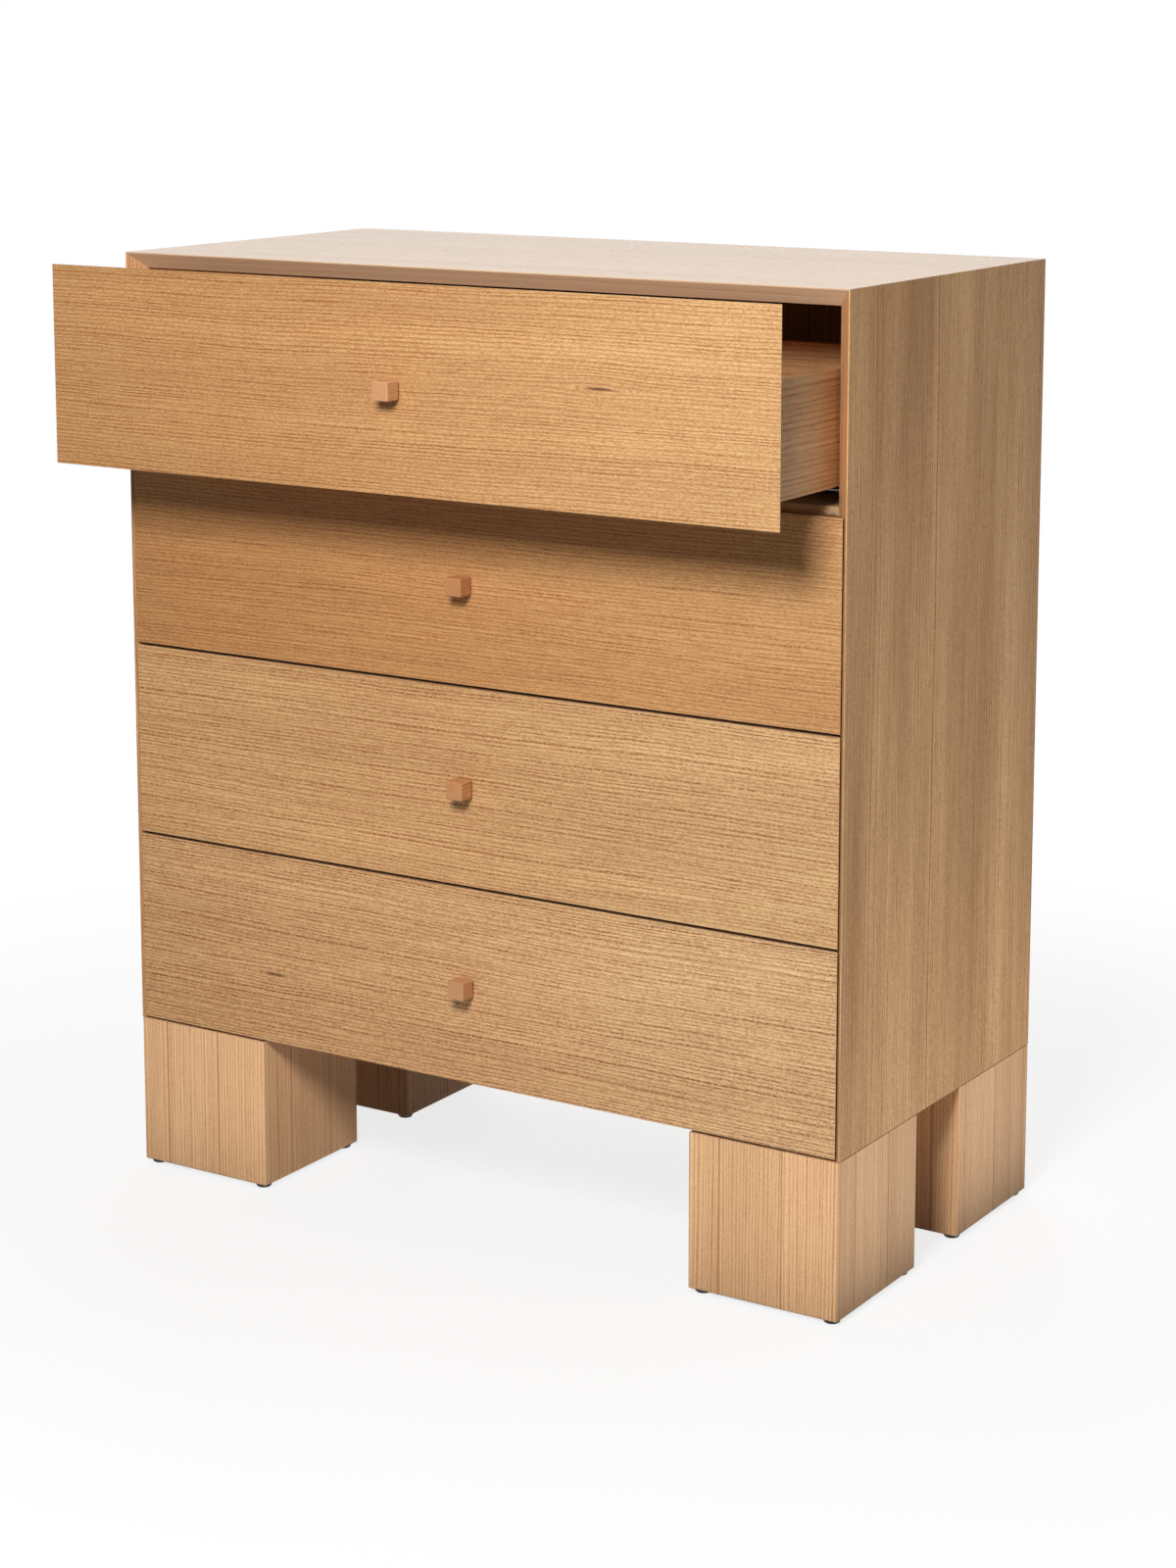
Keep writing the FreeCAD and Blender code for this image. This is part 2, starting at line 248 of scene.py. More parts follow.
def eased_edge_group():
    """The rounding of a sanded arris, and a mask of the arris, which the finishes paint paler for use and,
    on the oak, as a painted highlight.
    """
    tree, given, gives = start_group(
        "eased_edge", {"Radius": ("Float", 0.001)}, {"Normal": "Vector", "Arris": "Float"})
    round_normal = add(tree, "Bevel", {"Radius": given["Radius"]}, samples=6).outputs["Normal"]
    flat_normal = tree.nodes.new("ShaderNodeNewGeometry").outputs["True Normal"]
    agree = vector_calc(tree, "DOT_PRODUCT", round_normal, flat_normal)
    tree.links.new(round_normal, gives["Normal"])
    tree.links.new(eased(tree, agree, 0.995, 0.80), gives["Arris"])
    return tree


def edge_faces_group():
    """A mask of a board's edges. With Least above 0 it keeps to bevels, which still half face the front."""
    facing_front = 0.9
    tree, given, gives = start_group("edge_faces", {"Least": ("Float", 0.3)}, {"Mask": "Float"})
    frontal = calc(tree, "ABSOLUTE", split(tree, own_place(tree, "Normal"))["Y"])
    turned_off = calc(tree, "LESS_THAN", frontal, facing_front)
    in_reach = calc(tree, "GREATER_THAN", frontal, given["Least"])
    tree.links.new(calc(tree, "MULTIPLY", turned_off, in_reach), gives["Mask"])
    return tree


oak_figure = oak_figure_group()
eased_edge = eased_edge_group()
edge_faces = edge_faces_group()


def start_material(name):
    """Starts a material. Returns it and its empty tree."""
    material = bpy.data.materials.new(name)
    material.use_nodes = True
    material.node_tree.nodes.clear()
    return material, material.node_tree


def grain_vector(tree, along, across, start):
    """The piece's own coordinates, with X turned along the grain, moved to a fresh bit of log."""
    into = ({"X", "Y", "Z"} - {along, across}).pop()
    parts = split(tree, own_place(tree))
    return vector_calc(tree, "ADD", join(tree, parts[along], parts[across], parts[into]), start)


def finish_surface(tree, look, edge_radius, arris_share, paler_tint, relief, strength, constants):
    """Ends a material: pale arrises over the look's colour, from use and on the oak also a painted
    highlight, its fine relief, and the shader.
    """
    edge = group_node(tree, eased_edge, {"Radius": edge_radius})
    color = blend(tree, calc(tree, "MULTIPLY", edge["Arris"], arris_share), look["Color"], paler_tint)
    bump = add(tree, "Bump", {"Height": look["Height"], "Normal": edge["Normal"],
                              "Distance": relief, "Strength": strength})
    shader = add(tree, "BsdfPrincipled", {"Base Color": color, "Roughness": look["Roughness"],
                                          "Normal": bump.outputs["Normal"], **constants})
    out = tree.nodes.new("ShaderNodeOutputMaterial")
    tree.links.new(shader.outputs["BSDF"], out.inputs["Surface"])
    return shader


def lacquered(tree, oak, gloss):
    """The finish of an oak face: arrises painted pale, partly for the rub of use and partly as a painted
    highlight, open pores and a coat of lacquer.
    """
    # painted highlight: the pale arrises stand partly for the rub of use and partly for the highlights that
    # the eased arrises catch
    pale_arris = (0.86, 0.60, 0.36, 1)
    return finish_surface(tree, oak, edge_radius=0.0012, arris_share=0.35, paler_tint=pale_arris, relief=0.00025,
                          strength=0.6, constants={"Specular IOR Level": gloss})


def repaint(tree, shader, share, tint, way="MIX"):
    """Lays a tint over a shader's colour."""
    under = shader.inputs["Base Color"].links[0].from_socket
    feed(tree, shader.inputs["Base Color"], blend(tree, share, under, tint, way))


def tint_lipping_and_gap_shade(tree, shader, least, share, tint):
    """Tints the edges of a board: lipping of another wood on the case panels, and painted shade of the gaps
    on the drawer fronts.
    """
    mask = group_node(tree, edge_faces, {"Least": least})["Mask"]
    repaint(tree, shader, calc(tree, "MULTIPLY", mask, share), tint)


def oak_board(name, along, across, start, gloss=0.5, lipping=None, **figure):
    """A board of oak, with its bevels lipped in another tint where one is given."""
    material, tree = start_material(name)
    grain = grain_vector(tree, along, across, start)
    shader = lacquered(tree, group_node(tree, oak_figure, {"Grain": grain, **figure}), gloss)
    if lipping:
        tint_lipping_and_gap_shade(tree, shader, least=0.3, share=0.6, tint=lipping)
    return material


def dress(node, material):
    """Gives a CAD node its finish."""
    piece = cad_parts[node]
    if not piece.material_slots:
        piece.data.materials.append(material)
    for slot in piece.material_slots:
        slot.material = material


top_oak = {"Rows": 0.34, "Dashes": 0.5, "Matt": 0.12,
           "Pale": (0.66, 0.42, 0.23, 1), "Dark": (0.36, 0.20, 0.10, 1)}
side_oak = {"Rows": 0.85, "Dashes": 0.45, "Ring": 0.0052, "Band": 0.22, "Slant": 0.03, "Wander": 0.02,
            "Streaks": 1.2, "Fine": 0.40, "Mottle": 1.1,
            "Pale": (0.80, 0.462, 0.213, 1), "Dark": (0.36, 0.157, 0.054, 1)}
top_lipping = (0.84, 0.56, 0.37, 1)
side_lipping = (0.42, 0.18, 0.075, 1)
side_gloss = 0.18
dress("top_panel", oak_board("oak_veneer_top", "X", "Y", (0.3, 2.1, 0.7), lipping=top_lipping, **top_oak))
dress("bottom_panel", oak_board("oak_veneer_bottom", "X", "Y", (5.1, 3.4, 1.9), **top_oak))
for hand, start in (("right", (2.6, 0.9, 4.2)), ("left", (7.3, 1.7, 6.1))):
    veneer = oak_board("oak_veneer_" + hand, "Z", "Y", start, side_gloss, side_lipping, **side_oak)
    dress(hand + "_panel", veneer)


# The back is one thin veneered sheet let into a rabbet round the case. It is sealed
# but not rubbed down, so it is duller than the rest, and small cross-headed screws
# of zinc-plated steel hold it all round.

back_oak = {"Rows": 0.30, "Dashes": 0.4, "Ring": 0.007, "Wander": 0.03,
            "Pale": (0.60, 0.375, 0.195, 1), "Dark": (0.33, 0.18, 0.085, 1)}
back_gloss = 0.25
dress("back_panel", oak_board("oak_veneer_back", "Z", "X", (3.3, 8.2, 5.5), back_gloss, **back_oak))


def drawn_steel_group():
    """Plated sheet or bar: fine drawing lines along X of Grain, and dull patches in the plating."""
    dulling = (0.72, 0.72, 0.72, 1)
    line_tint = (0.25, 0.25, 0.26, 1)
    line_share = 0.25
    line_rough = 0.10
    patch_rough = 0.22
    tree, given, gives = start_group(
        "drawn_steel",
        {"Grain": ("Vector", None), "Tint": ("Color", (0.60, 0.60, 0.60, 1)), "Rough": ("Float", 0.28)},
        {"Color": "Color", "Roughness": "Float", "Height": "Float"},
    )
    lines = cloud(tree, given["Grain"], (40.0, 2600.0, 2600.0), 2.0)
    patches = cloud(tree, given["Grain"], (30.0, 45.0, 45.0), 3.0)
    dull = blend(tree, 1.0, given["Tint"], dulling, "MULTIPLY")
    color = blend(tree, eased(tree, patches, 0.3, 0.75), given["Tint"], dull)
    color = blend(tree, calc(tree, "MULTIPLY", lines, line_share), color, line_tint)
    rough = calc(tree, "MULTIPLY_ADD", lines, line_rough, given["Rough"])
    tree.links.new(color, gives["Color"])
    tree.links.new(calc(tree, "MULTIPLY_ADD", patches, patch_rough, rough), gives["Roughness"])
    tree.links.new(lines, gives["Height"])
    return tree


drawn_steel = drawn_steel_group()


def plated_steel(name, along, across, tint, rough, start):
    """Zinc-plated steel drawn along one axis, bright where its arrises are polished by use."""
    pale_arris = (0.86, 0.86, 0.88, 1)
    material, tree = start_material(name)
    grain = grain_vector(tree, along, across, start)
    look = group_node(tree, drawn_steel, {"Grain": grain, "Tint": tint, "Rough": rough})
    finish_surface(tree, look, edge_radius=0.0004, arris_share=0.4, paler_tint=pale_arris, relief=0.00003,
                   strength=0.5, constants={"Metallic": 1.0})
    return material


def stand_at(place, facing):
    """The move that stands a piece on place, with its Z along facing."""
    return Matrix.Translation(place) @ facing.to_track_quat("Z", "Y").to_matrix().to_4x4()


def turned(mesh, place, facing, profile, steps, capped=True):
    """Spins a profile of (radius, height) about the line through place and closes its ends."""
    stand = stand_at(place, facing)
    angles = [2 * math.pi * step / steps for step in range(steps)]
    rings = []
    for radius, height in profile:
        round_points = [Vector((radius * math.cos(a), radius * math.sin(a), height)) for a in angles]
        rings.append([mesh.verts.new(stand @ point) for point in round_points])
    for low, high in zip(rings, rings[1:]):
        for step in range(steps):
            after = (step + 1) % steps
            mesh.faces.new((low[step], low[after], high[after], high[step]))
    mesh.faces.new(rings[0][::-1])
    if capped:
        mesh.faces.new(rings[-1])
    return rings


def screw_head(mesh, place, facing, radius, height, turn):
    """A pan head with a cross recess. It stands on place, and turn is where the driver left it."""
    head_shares = ((1.0, 0.0), (1.0, 0.4), (0.93, 0.8), (0.78, 1.0))
    arm_share = 0.56
    half_arm_share = 0.12
    floor_share = 0.8
    floor_height_share = 0.3
    head_steps = 24
    profile = [(radius * wide, height * high) for wide, high in head_shares]
    rim = turned(mesh, place, facing, profile, head_steps, capped=False)[-1]
    arm = arm_share * radius
    half = half_arm_share * radius
    mouth = []
    floor = []
    for quarter in range(4):
        spin = stand_at(place, facing) @ Matrix.Rotation(turn + quarter * math.pi / 2, 4, "Z")
        for x, y in ((arm, -half), (arm, half), (half, half)):
            mouth.append(mesh.verts.new(spin @ Vector((x, y, height))))
            sunk = Vector((floor_share * x, floor_share * y, floor_height_share * height))
            floor.append(mesh.verts.new(spin @ sunk))
    for corner in range(len(mouth)):
        after = (corner + 1) % len(mouth)
        mesh.faces.new((mouth[corner], mouth[after], floor[after], floor[corner]))
    mesh.faces.new(floor)
    loops = [mesh.edges.get((loop[i - 1], loop[i])) for loop in (rim, mouth) for i in range(len(loop))]
    bmesh.ops.triangle_fill(mesh, use_beauty=True, edges=loops)


def new_piece(name, mesh, material):
    """Turns a mesh into a piece of the scene with one finish."""
    sharp_from = 40
    data = bpy.data.meshes.new(name)
    bmesh.ops.recalc_face_normals(mesh, faces=mesh.faces[:])
    mesh.to_mesh(data)
    mesh.free()
    data.materials.append(material)
    data.shade_smooth()
    data.set_sharp_from_angle(angle=math.radians(sharp_from))
    piece = bpy.data.objects.new(name, data)
    bpy.context.scene.collection.objects.link(piece)
    return piece


zinc = (0.62, 0.62, 0.60, 1)
fastener_steel = plated_steel("zinc_plated_fasteners", "Z", "X", zinc, 0.28, (0.4, 0.1, 0.7))
backwards = Vector((0, 1, 0))
back_screw_radius = 0.0032
back_screw_height = 0.0014
back_screw_turn = 0.7
rabbet_middle = 0.0045
sill = 0.009
screws_up = 6
screw_columns = (-0.27, -0.09, 0.09, 0.27)
low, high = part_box("back_panel")
lowest = low[2] + sill
climb = high[2] - rabbet_middle - lowest
heights = [lowest + climb * step / (screws_up - 1) for step in range(screws_up)]
spots = [(x, z) for x in (low[0] + rabbet_middle, high[0] - rabbet_middle) for z in heights]
spots += [(x, z) for x in screw_columns for z in (heights[0], heights[-1])]
heads = bmesh.new()
for number, (x, z) in enumerate(spots):
    place = Vector((x, high[1], z))
    screw_head(heads, place, backwards, back_screw_radius, back_screw_height, back_screw_turn * number)
back_screws = new_piece("back_screws", heads, fastener_steel)
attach(back_screws, "case")


# Three solid oak rails tie the sides together behind the gaps between the drawers.
# They are tenoned into the sides, and soft clear dots stuck near their ends take the
# knock of the drawers above and below.

rails = ("upper_rail", "middle_rail", "lower_rail")
rail_oak = {"Rows": 0.5, "Pale": (0.62, 0.38, 0.19, 1), "Dark": (0.33, 0.17, 0.08, 1)}
for step, rail in enumerate(rails):
    dress(rail, oak_board("oak_" + rail, "X", "Z", (1.2 + step, 4.4, 0.3 * step), **rail_oak))

clear_rubber, tree = start_material("clear_rubber_dots")
cloudy = cloud(tree, own_place(tree), (900.0, 900.0, 900.0))
milky = blend(tree, eased(tree, cloudy, 0.3, 0.8), (0.92, 0.74, 0.62, 1), (0.84, 0.62, 0.48, 1))
rubber = add(tree, "BsdfPrincipled", {"Base Color": milky, "Transmission Weight": 0.55, "IOR": 1.40,
                                      "Roughness": calc(tree, "MULTIPLY_ADD", cloudy, 0.15, 0.30)})
tree.links.new(rubber.outputs["BSDF"], tree.nodes.new("ShaderNodeOutputMaterial").inputs["Surface"])
dot_profile = ((0.0001, 0.0), (0.0020, 0.0), (0.0020, 0.0002), (0.0018, 0.0006), (0.0014, 0.0009),
               (0.0007, 0.0011), (0.0001, 0.00115))
dot_places = (-0.431, -0.421, 0.421, 0.431)
dot_steps = 24
forwards = Vector((0, -1, 0))
dots = bmesh.new()
for rail in rails:
    low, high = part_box(rail)
    for x in dot_places:
        turned(dots, Vector((x, low[1], (low[2] + high[2]) / 2)), forwards, dot_profile, dot_steps)
rail_dots = new_piece("clear_rail_dots", dots, clear_rubber)
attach(rail_dots, "case")


# The legs are hollow square blocks of four solid oak boards, mitred at the corners.
# Each board is glued up from narrow staves, so fine glue lines run down the faces,
# and the four legs differ a little in tone.

def glued_staves_group():
    """A leg's faces as glued staves: each stave's own grain and shade, and a mask of the glue lines."""
    stave_width = 0.074
    darkest_stave = 0.94
    palest_stave = 1.04
    side_staves_from = 7.0
    facing_side = 0.6
    log_length = 3.0
    log_width = 5.0
    tree, given, gives = start_group(
        "glued_staves",
        {"Place": ("Vector", None), "Leg": ("Float", 0.0), "Tone": ("Float", 1.0),
         "Front Seam": ("Float", 0.0), "Side Seam": ("Float", 0.0)},
        {"Grain": "Vector", "Shade": "Color", "Seam": "Float"},
    )
    parts = split(tree, given["Place"])
    sideways = calc(tree, "ABSOLUTE", split(tree, own_place(tree, "Normal"))["X"])
    on_side = calc(tree, "GREATER_THAN", sideways, facing_side)
    on_front = calc(tree, "SUBTRACT", 1.0, on_side)
    across_side = calc(tree, "MULTIPLY", calc(tree, "SUBTRACT", parts["Y"], given["Side Seam"]), on_side)
    across_front = calc(tree, "MULTIPLY", calc(tree, "SUBTRACT", parts["X"], given["Front Seam"]), on_front)
    across = calc(tree, "ADD", across_side, across_front)
    staves = calc(tree, "DIVIDE", across, stave_width)
    stave = calc(tree, "MULTIPLY_ADD", on_side, side_staves_from, calc(tree, "FLOOR", staves))
    lot = lot_of(tree, calc(tree, "ADD", stave, given["Leg"]))
    up_log = calc(tree, "MULTIPLY_ADD", lot, log_length, parts["Z"])
    across_log = calc(tree, "MULTIPLY_ADD", lot, log_width, across)
    grain = join(tree, up_log, across_log, calc(tree, "ADD", parts["X"], parts["Y"]))
    darkest = calc(tree, "MULTIPLY", given["Tone"], darkest_stave)
    palest = calc(tree, "MULTIPLY", given["Tone"], palest_stave)
    light = eased(tree, lot, 0.0, 1.0, darkest, palest)
    from_seam = calc(tree, "SUBTRACT", calc(tree, "FRACT", calc(tree, "ADD", staves, 0.5)), 0.5)
    tree.links.new(grain, gives["Grain"])
    tree.links.new(join(tree, light, light, light), gives["Shade"])
    tree.links.new(eased(tree, calc(tree, "ABSOLUTE", from_seam), 0.016, 0.006), gives["Seam"])
    return tree


glued_staves = glued_staves_group()
leg_oak = {"Rows": 0.72, "Dashes": 0.45, "Ring": 0.0056, "Band": 0.30, "Slant": 0.05, "Wander": 0.016,
           "Streaks": 0.65, "Fine": 0.30, "Pale": (0.91, 0.565, 0.297, 1), "Dark": (0.52, 0.17, 0.055, 1)}
leg_gloss = 0.3
glue_line = (0.36, 0.11, 0.04, 1)
glue_share = 0.6
lots_apart = 11.3
legs = {
    "leg_front_left": {"Front Seam": 0.110, "Side Seam": 0.050, "Tone": 1.05},
    "leg_front_right": {"Front Seam": 0.037, "Side Seam": 0.038, "Tone": 0.95},
    "leg_back_left": {"Front Seam": 0.060, "Side Seam": 0.085, "Tone": 0.88},
    "leg_back_right": {"Front Seam": 0.070, "Side Seam": 0.017, "Tone": 0.98},
}
for number, (leg, look) in enumerate(legs.items()):
    material, tree = start_material("oak_solid_" + leg)
    place = vector_calc(tree, "SUBTRACT", own_place(tree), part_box(leg)[0])
    staves = group_node(tree, glued_staves, {"Place": place, "Leg": lots_apart * number, **look})
    oak = group_node(tree, oak_figure, {"Grain": staves["Grain"], **leg_oak})
    shader = lacquered(tree, oak, leg_gloss)
    repaint(tree, shader, 1.0, staves["Shade"], "MULTIPLY")
    repaint(tree, shader, calc(tree, "MULTIPLY", staves["Seam"], glue_share), glue_line)
    dress(leg, material)


# A plate closes the top of each leg and takes the bolt that pulls it up against the
# case bottom. Plain birch board and a zinc-plated steel bolt, out of sight in use.

birch = {"Rows": 0.15, "Pale": (0.66, 0.48, 0.29, 1), "Dark": (0.48, 0.31, 0.17, 1)}
dress("leg_plates", oak_board("birch_leg_plates", "X", "Y", (9.0, 2.0, 1.0), **birch))
dress("leg_bolts", fastener_steel)


# Sixteen glides, one near each corner under every leg: turned black nylon pads with
# a rounded lower edge, pressed up against the leg. They replace the plain tapered pads.

def moulded_grain_group():
    """Moulded plastic: an even tint with haze from use and a fine spark-eroded grain."""
    haze_share = 0.35
    haze_rough = 0.2
    tree, given, gives = start_group(
        "moulded_grain",
        {"Tint": ("Color", (0.1, 0.1, 0.1, 1)), "Worn": ("Color", (0.3, 0.3, 0.3, 1)),
         "Rough": ("Float", 0.3)},
        {"Color": "Color", "Roughness": "Float", "Height": "Float"},
    )
    here = own_place(tree)
    haze = cloud(tree, here, (60.0, 60.0, 60.0), 3.0)
    hazy = eased(tree, haze, 0.35, 0.8, 0.0, haze_share)
    tree.links.new(blend(tree, hazy, given["Tint"], given["Worn"]), gives["Color"])
    tree.links.new(calc(tree, "MULTIPLY_ADD", haze, haze_rough, given["Rough"]), gives["Roughness"])
    tree.links.new(cloud(tree, here, (2600.0, 2600.0, 2600.0), 1.0), gives["Height"])
    return tree


moulded_grain = moulded_grain_group()


def moulded_plastic(name, tint, paler_tint, rough):
    """Moulded plastic with paler arrises."""
    material, tree = start_material(name)
    look = group_node(tree, moulded_grain, {"Tint": tint, "Worn": paler_tint, "Rough": rough})
    finish_surface(tree, look, edge_radius=0.0006, arris_share=0.5, paler_tint=paler_tint, relief=0.00004,
                   strength=0.5, constants={})
    return material


def middle_of(values):
    """Half way from the least value to the greatest."""
    return (min(values) + max(values)) / 2


nylon_black = (0.012, 0.012, 0.013, 1)
nylon_worn = (0.05, 0.05, 0.052, 1)
glide_nylon = moulded_plastic("black_nylon_glides", nylon_black, nylon_worn, 0.30)
glide_profile = ((0.0001, 0.005), (0.009, 0.005), (0.009, 0.0026), (0.0088, 0.0016), (0.0083, 0.0008),
                 (0.0075, 0.0002), (0.0068, 0.0), (0.0001, 0.0))
glide_steps = 36
upwards = Vector((0, 0, 1))
pads = [vertex.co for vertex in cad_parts["glides"].data.vertices]
pad_mesh = bmesh.new()
for leg in legs:
    low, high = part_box(leg)
    middle = (low + high) / 2
    under_leg = [p for p in pads if low[0] < p.x < high[0] and low[1] < p.y < high[1]]
    for right in (False, True):
        for rear in (False, True):
            pad = [p for p in under_leg if (p.x > middle.x) == right and (p.y > middle.y) == rear]
            centre = Vector((middle_of([p.x for p in pad]), middle_of([p.y for p in pad]), 0.0))
            turned(pad_mesh, centre, upwards, glide_profile, glide_steps)
glides = new_piece("turned_glides", pad_mesh, glide_nylon)
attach(glides, "case")
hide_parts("glides")


# The four drawer fronts are thick veneered boards with the grain lying along them.
# Their ends, and the upper edge of the top one, are bevelled to sit inside the bevel of
# the case. Every edge is painted darker, as painted shade in the gaps round the drawers,
# and each face is painted paler towards its right end, as a painted sheen.

def pin_knot_group():
    """A small closed knot: the rings part round it and a dark lens of bark fills it."""
    width_share = 0.10
    push_share = -0.28
    soft_side = 0.0012
    fade_along = -0.16
    fade_across = -70.0
    tree, given, gives = start_group(
        "pin_knot",
        {"Grain": ("Vector", None), "Centre": ("Vector", None), "Length": ("Float", 0.012)},
        {"Grain": "Vector", "Mask": "Float"},
    )
    away = split(tree, vector_calc(tree, "SUBTRACT", given["Grain"], given["Centre"]))
    along = calc(tree, "DIVIDE", away["X"], given["Length"])
    along_squared = calc(tree, "MULTIPLY", along, along)
    across = calc(tree, "DIVIDE", away["Y"], calc(tree, "MULTIPLY", given["Length"], width_share))
    lens = calc(tree, "ADD", along_squared, calc(tree, "MULTIPLY", across, across))
    bark = calc(tree, "EXPONENT", calc(tree, "MULTIPLY", lens, -1.0))
    tree.links.new(eased(tree, bark, 0.05, 0.75), gives["Mask"])

    # the push fades out along the grain and away from the knot
    distance = calc(tree, "ABSOLUTE", away["Y"])
    side = calc(tree, "DIVIDE", away["Y"], calc(tree, "ADD", distance, soft_side))
    fade = calc(tree, "MULTIPLY", distance, fade_across)
    fade = calc(tree, "MULTIPLY_ADD", along_squared, fade_along, fade)
    pushed = calc(tree, "MULTIPLY", side, calc(tree, "EXPONENT", fade))
    push = calc(tree, "MULTIPLY", pushed, calc(tree, "MULTIPLY", given["Length"], push_share))
    tree.links.new(vector_calc(tree, "ADD", given["Grain"], join(tree, 0.0, push, 0.0)), gives["Grain"])
    return tree


def painted_sheen_group():
    """A painted sheen: how far a leaf of veneer is painted paler and whiter along its length, towards its
    right end.
    """
    tree, given, gives = start_group(
        "painted_sheen", {"From": ("Float", -0.15), "To": ("Float", 0.45)}, {"Mask": "Float"})
    along = split(tree, own_place(tree))["X"]
    tree.links.new(eased(tree, along, given["From"], given["To"]), gives["Mask"])
    return tree


pin_knot = pin_knot_group()
painted_sheen = painted_sheen_group()
front_oak = {"Slant": 0.10, "Wander": 0.020, "Streaks": 1.2, "Mottle": 0.5, "Matt": 0.60}
front_gloss = 0.5
knot_bark = (0.11, 0.030, 0.006, 1)
bark_share = 0.9
# painted sheen: each front is whitened towards its right end, where the key lamp's sheen lies
painted_sheen_tint = (1.05, 1.15, 1.25, 1)
painted_sheen_reach = {"From": -0.15, "To": 0.45}
# painted shade of the gaps between the drawers, laid on every edge of each front
painted_gap_shade = (0.17, 0.075, 0.03, 1)
fronts = {
    1: {"start": (0.0, 0.30, 0.0), "knot": (0.250, 0.968), "length": 0.016,
        "figure": {"Ring": 0.0040, "Band": 0.31, "Fine": 0.50, "Rows": 0.95, "Dashes": 0.60,
                   "Pale": (0.640, 0.346, 0.135, 1), "Dark": (0.315, 0.105, 0.024, 1)}},
    2: {"start": (4.7, 1.13, 2.0), "knot": (0.104, 0.778), "length": 0.004,
        "figure": {"Ring": 0.0042, "Band": 0.32, "Fine": 0.45, "Rows": 0.85, "Dashes": 0.70,
                   "Pale": (0.584, 0.288, 0.102, 1), "Dark": (0.284, 0.092, 0.022, 1)}},
    3: {"start": (9.3, 2.41, 4.0), "knot": (0.330, 0.455), "length": 0.004,
        "figure": {"Ring": 0.0042, "Band": 0.34, "Fine": 0.40, "Rows": 1.0, "Dashes": 0.75,
                   "Pale": (0.689, 0.398, 0.17, 1), "Dark": (0.306, 0.102, 0.027, 1)}},
    4: {"start": (14.1, 3.77, 6.0), "knot": (-0.261, 0.259), "length": 0.014,
        "figure": {"Ring": 0.0044, "Band": 0.34, "Fine": 0.40, "Rows": 1.0, "Dashes": 0.75,
                   "Pale": (0.725, 0.418, 0.187, 1), "Dark": (0.255, 0.084, 0.022, 1)}},
}
for number, look in fronts.items():
    material, tree = start_material("oak_veneer_front_%d" % number)
    centre = (look["knot"][0] + look["start"][0], look["knot"][1] + look["start"][1], 0.0)
    grain = grain_vector(tree, "X", "Z", look["start"])
    knot = group_node(tree, pin_knot, {"Grain": grain, "Centre": centre, "Length": look["length"]})
    oak = group_node(tree, oak_figure, {"Grain": knot["Grain"], **look["figure"], **front_oak})
    shader = lacquered(tree, oak, front_gloss)
    repaint(tree, shader, calc(tree, "MULTIPLY", knot["Mask"], bark_share), knot_bark)
    # painted sheen on the right of the face
    repaint(tree, shader, group_node(tree, painted_sheen, painted_sheen_reach)["Mask"], painted_sheen_tint, "MULTIPLY")
    # painted shade: every edge of a front is darkened, so that the gaps between the drawers read dark
    tint_lipping_and_gap_shade(tree, shader, least=-1.0, share=0.75, tint=painted_gap_shade)
    dress("drawer_%d_front" % number, material)


# Each drawer box is solid wood, dovetailed at all four corners, with a thin bottom
# slid into grooves. It is sealed with the same matt lacquer.

box_oak = {"Ring": 0.0060, "Rows": 0.6, "Dashes": 0.4, "Streaks": 1.4, "Mottle": 0.8,
           "Pale": (0.70, 0.375, 0.165, 1), "Dark": (0.30, 0.12, 0.042, 1)}
bottom_oak = {"Rows": 0.2, "Pale": (0.62, 0.40, 0.22, 1), "Dark": (0.42, 0.25, 0.12, 1)}
box_boards = (
    ("right_side", "box_right_%d", "Y", "Z", (6.0, 2.0), box_oak),
    ("left_side", "box_left_%d", "Y", "Z", (8.0, 3.0), box_oak),
    ("box_front", "box_front_%d", "X", "Z", (3.0, 5.0), box_oak),
    ("back", "box_back_%d", "X", "Z", (5.0, 7.0), box_oak),
    ("bottom", "box_bottom_%d", "X", "Y", (2.0, 9.0), bottom_oak),
)
for number in fronts:
    for board, name, along, across, log, figure in box_boards:
        wood = oak_board(name % number, along, across, (number, *log), **figure)
        dress("drawer_%d_%s" % (number, board), wood)


# Four screws of zinc-plated steel through each box front pull the drawer front tight
# against it. Their heads show inside the drawer.

front_screw_radius = 0.0042
front_screw_height = 0.0018
front_screw_columns = (-0.33, 0.33)
front_screw_rises = (0.060, 0.115)
for number in fronts:
    drawer = "drawer_%d" % number
    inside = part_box(drawer + "_box_front")[1][1]
    lower_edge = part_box(drawer + "_front")[0][2]
    heads = bmesh.new()
    for x in front_screw_columns:
        for rise in front_screw_rises:
            place = Vector((x, inside, lower_edge + rise))
            turn = 5 * x + 20 * rise + number
            screw_head(heads, place, backwards, front_screw_radius, front_screw_height, turn)
    front_screws = new_piece(drawer + "_front_screws", heads, fastener_steel)
    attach(front_screws, drawer)


# The knobs are small oak cubes on a square neck, end grain to the front, each cut from
# its own bit of wood and held from inside the drawer by one screw.

knob_oak = {"Lean": 1.0, "Ring": 0.0034, "Dashes": 0.3, "Dark": (0.33, 0.13, 0.045, 1)}
knobs = {
    1: {"Rows": 0.55, "Pale": (0.60, 0.30, 0.136, 1)},
    2: {"Rows": 0.75, "Pale": (0.51, 0.22, 0.084, 1)},
    3: {"Rows": 1.2, "Pale": (0.60, 0.28, 0.11, 1)},
    4: {"Rows": 0.55, "Pale": (0.55, 0.27, 0.122, 1)},
}
for number, look in knobs.items():
    wood = oak_board("oak_knob_%d" % number, "Y", "X", (0.31 * number, 7.0, 1.5), **knob_oak, **look)
    dress("drawer_%d_knob" % number, wood)
    dress("drawer_%d_knob_screw" % number, fastener_steel)
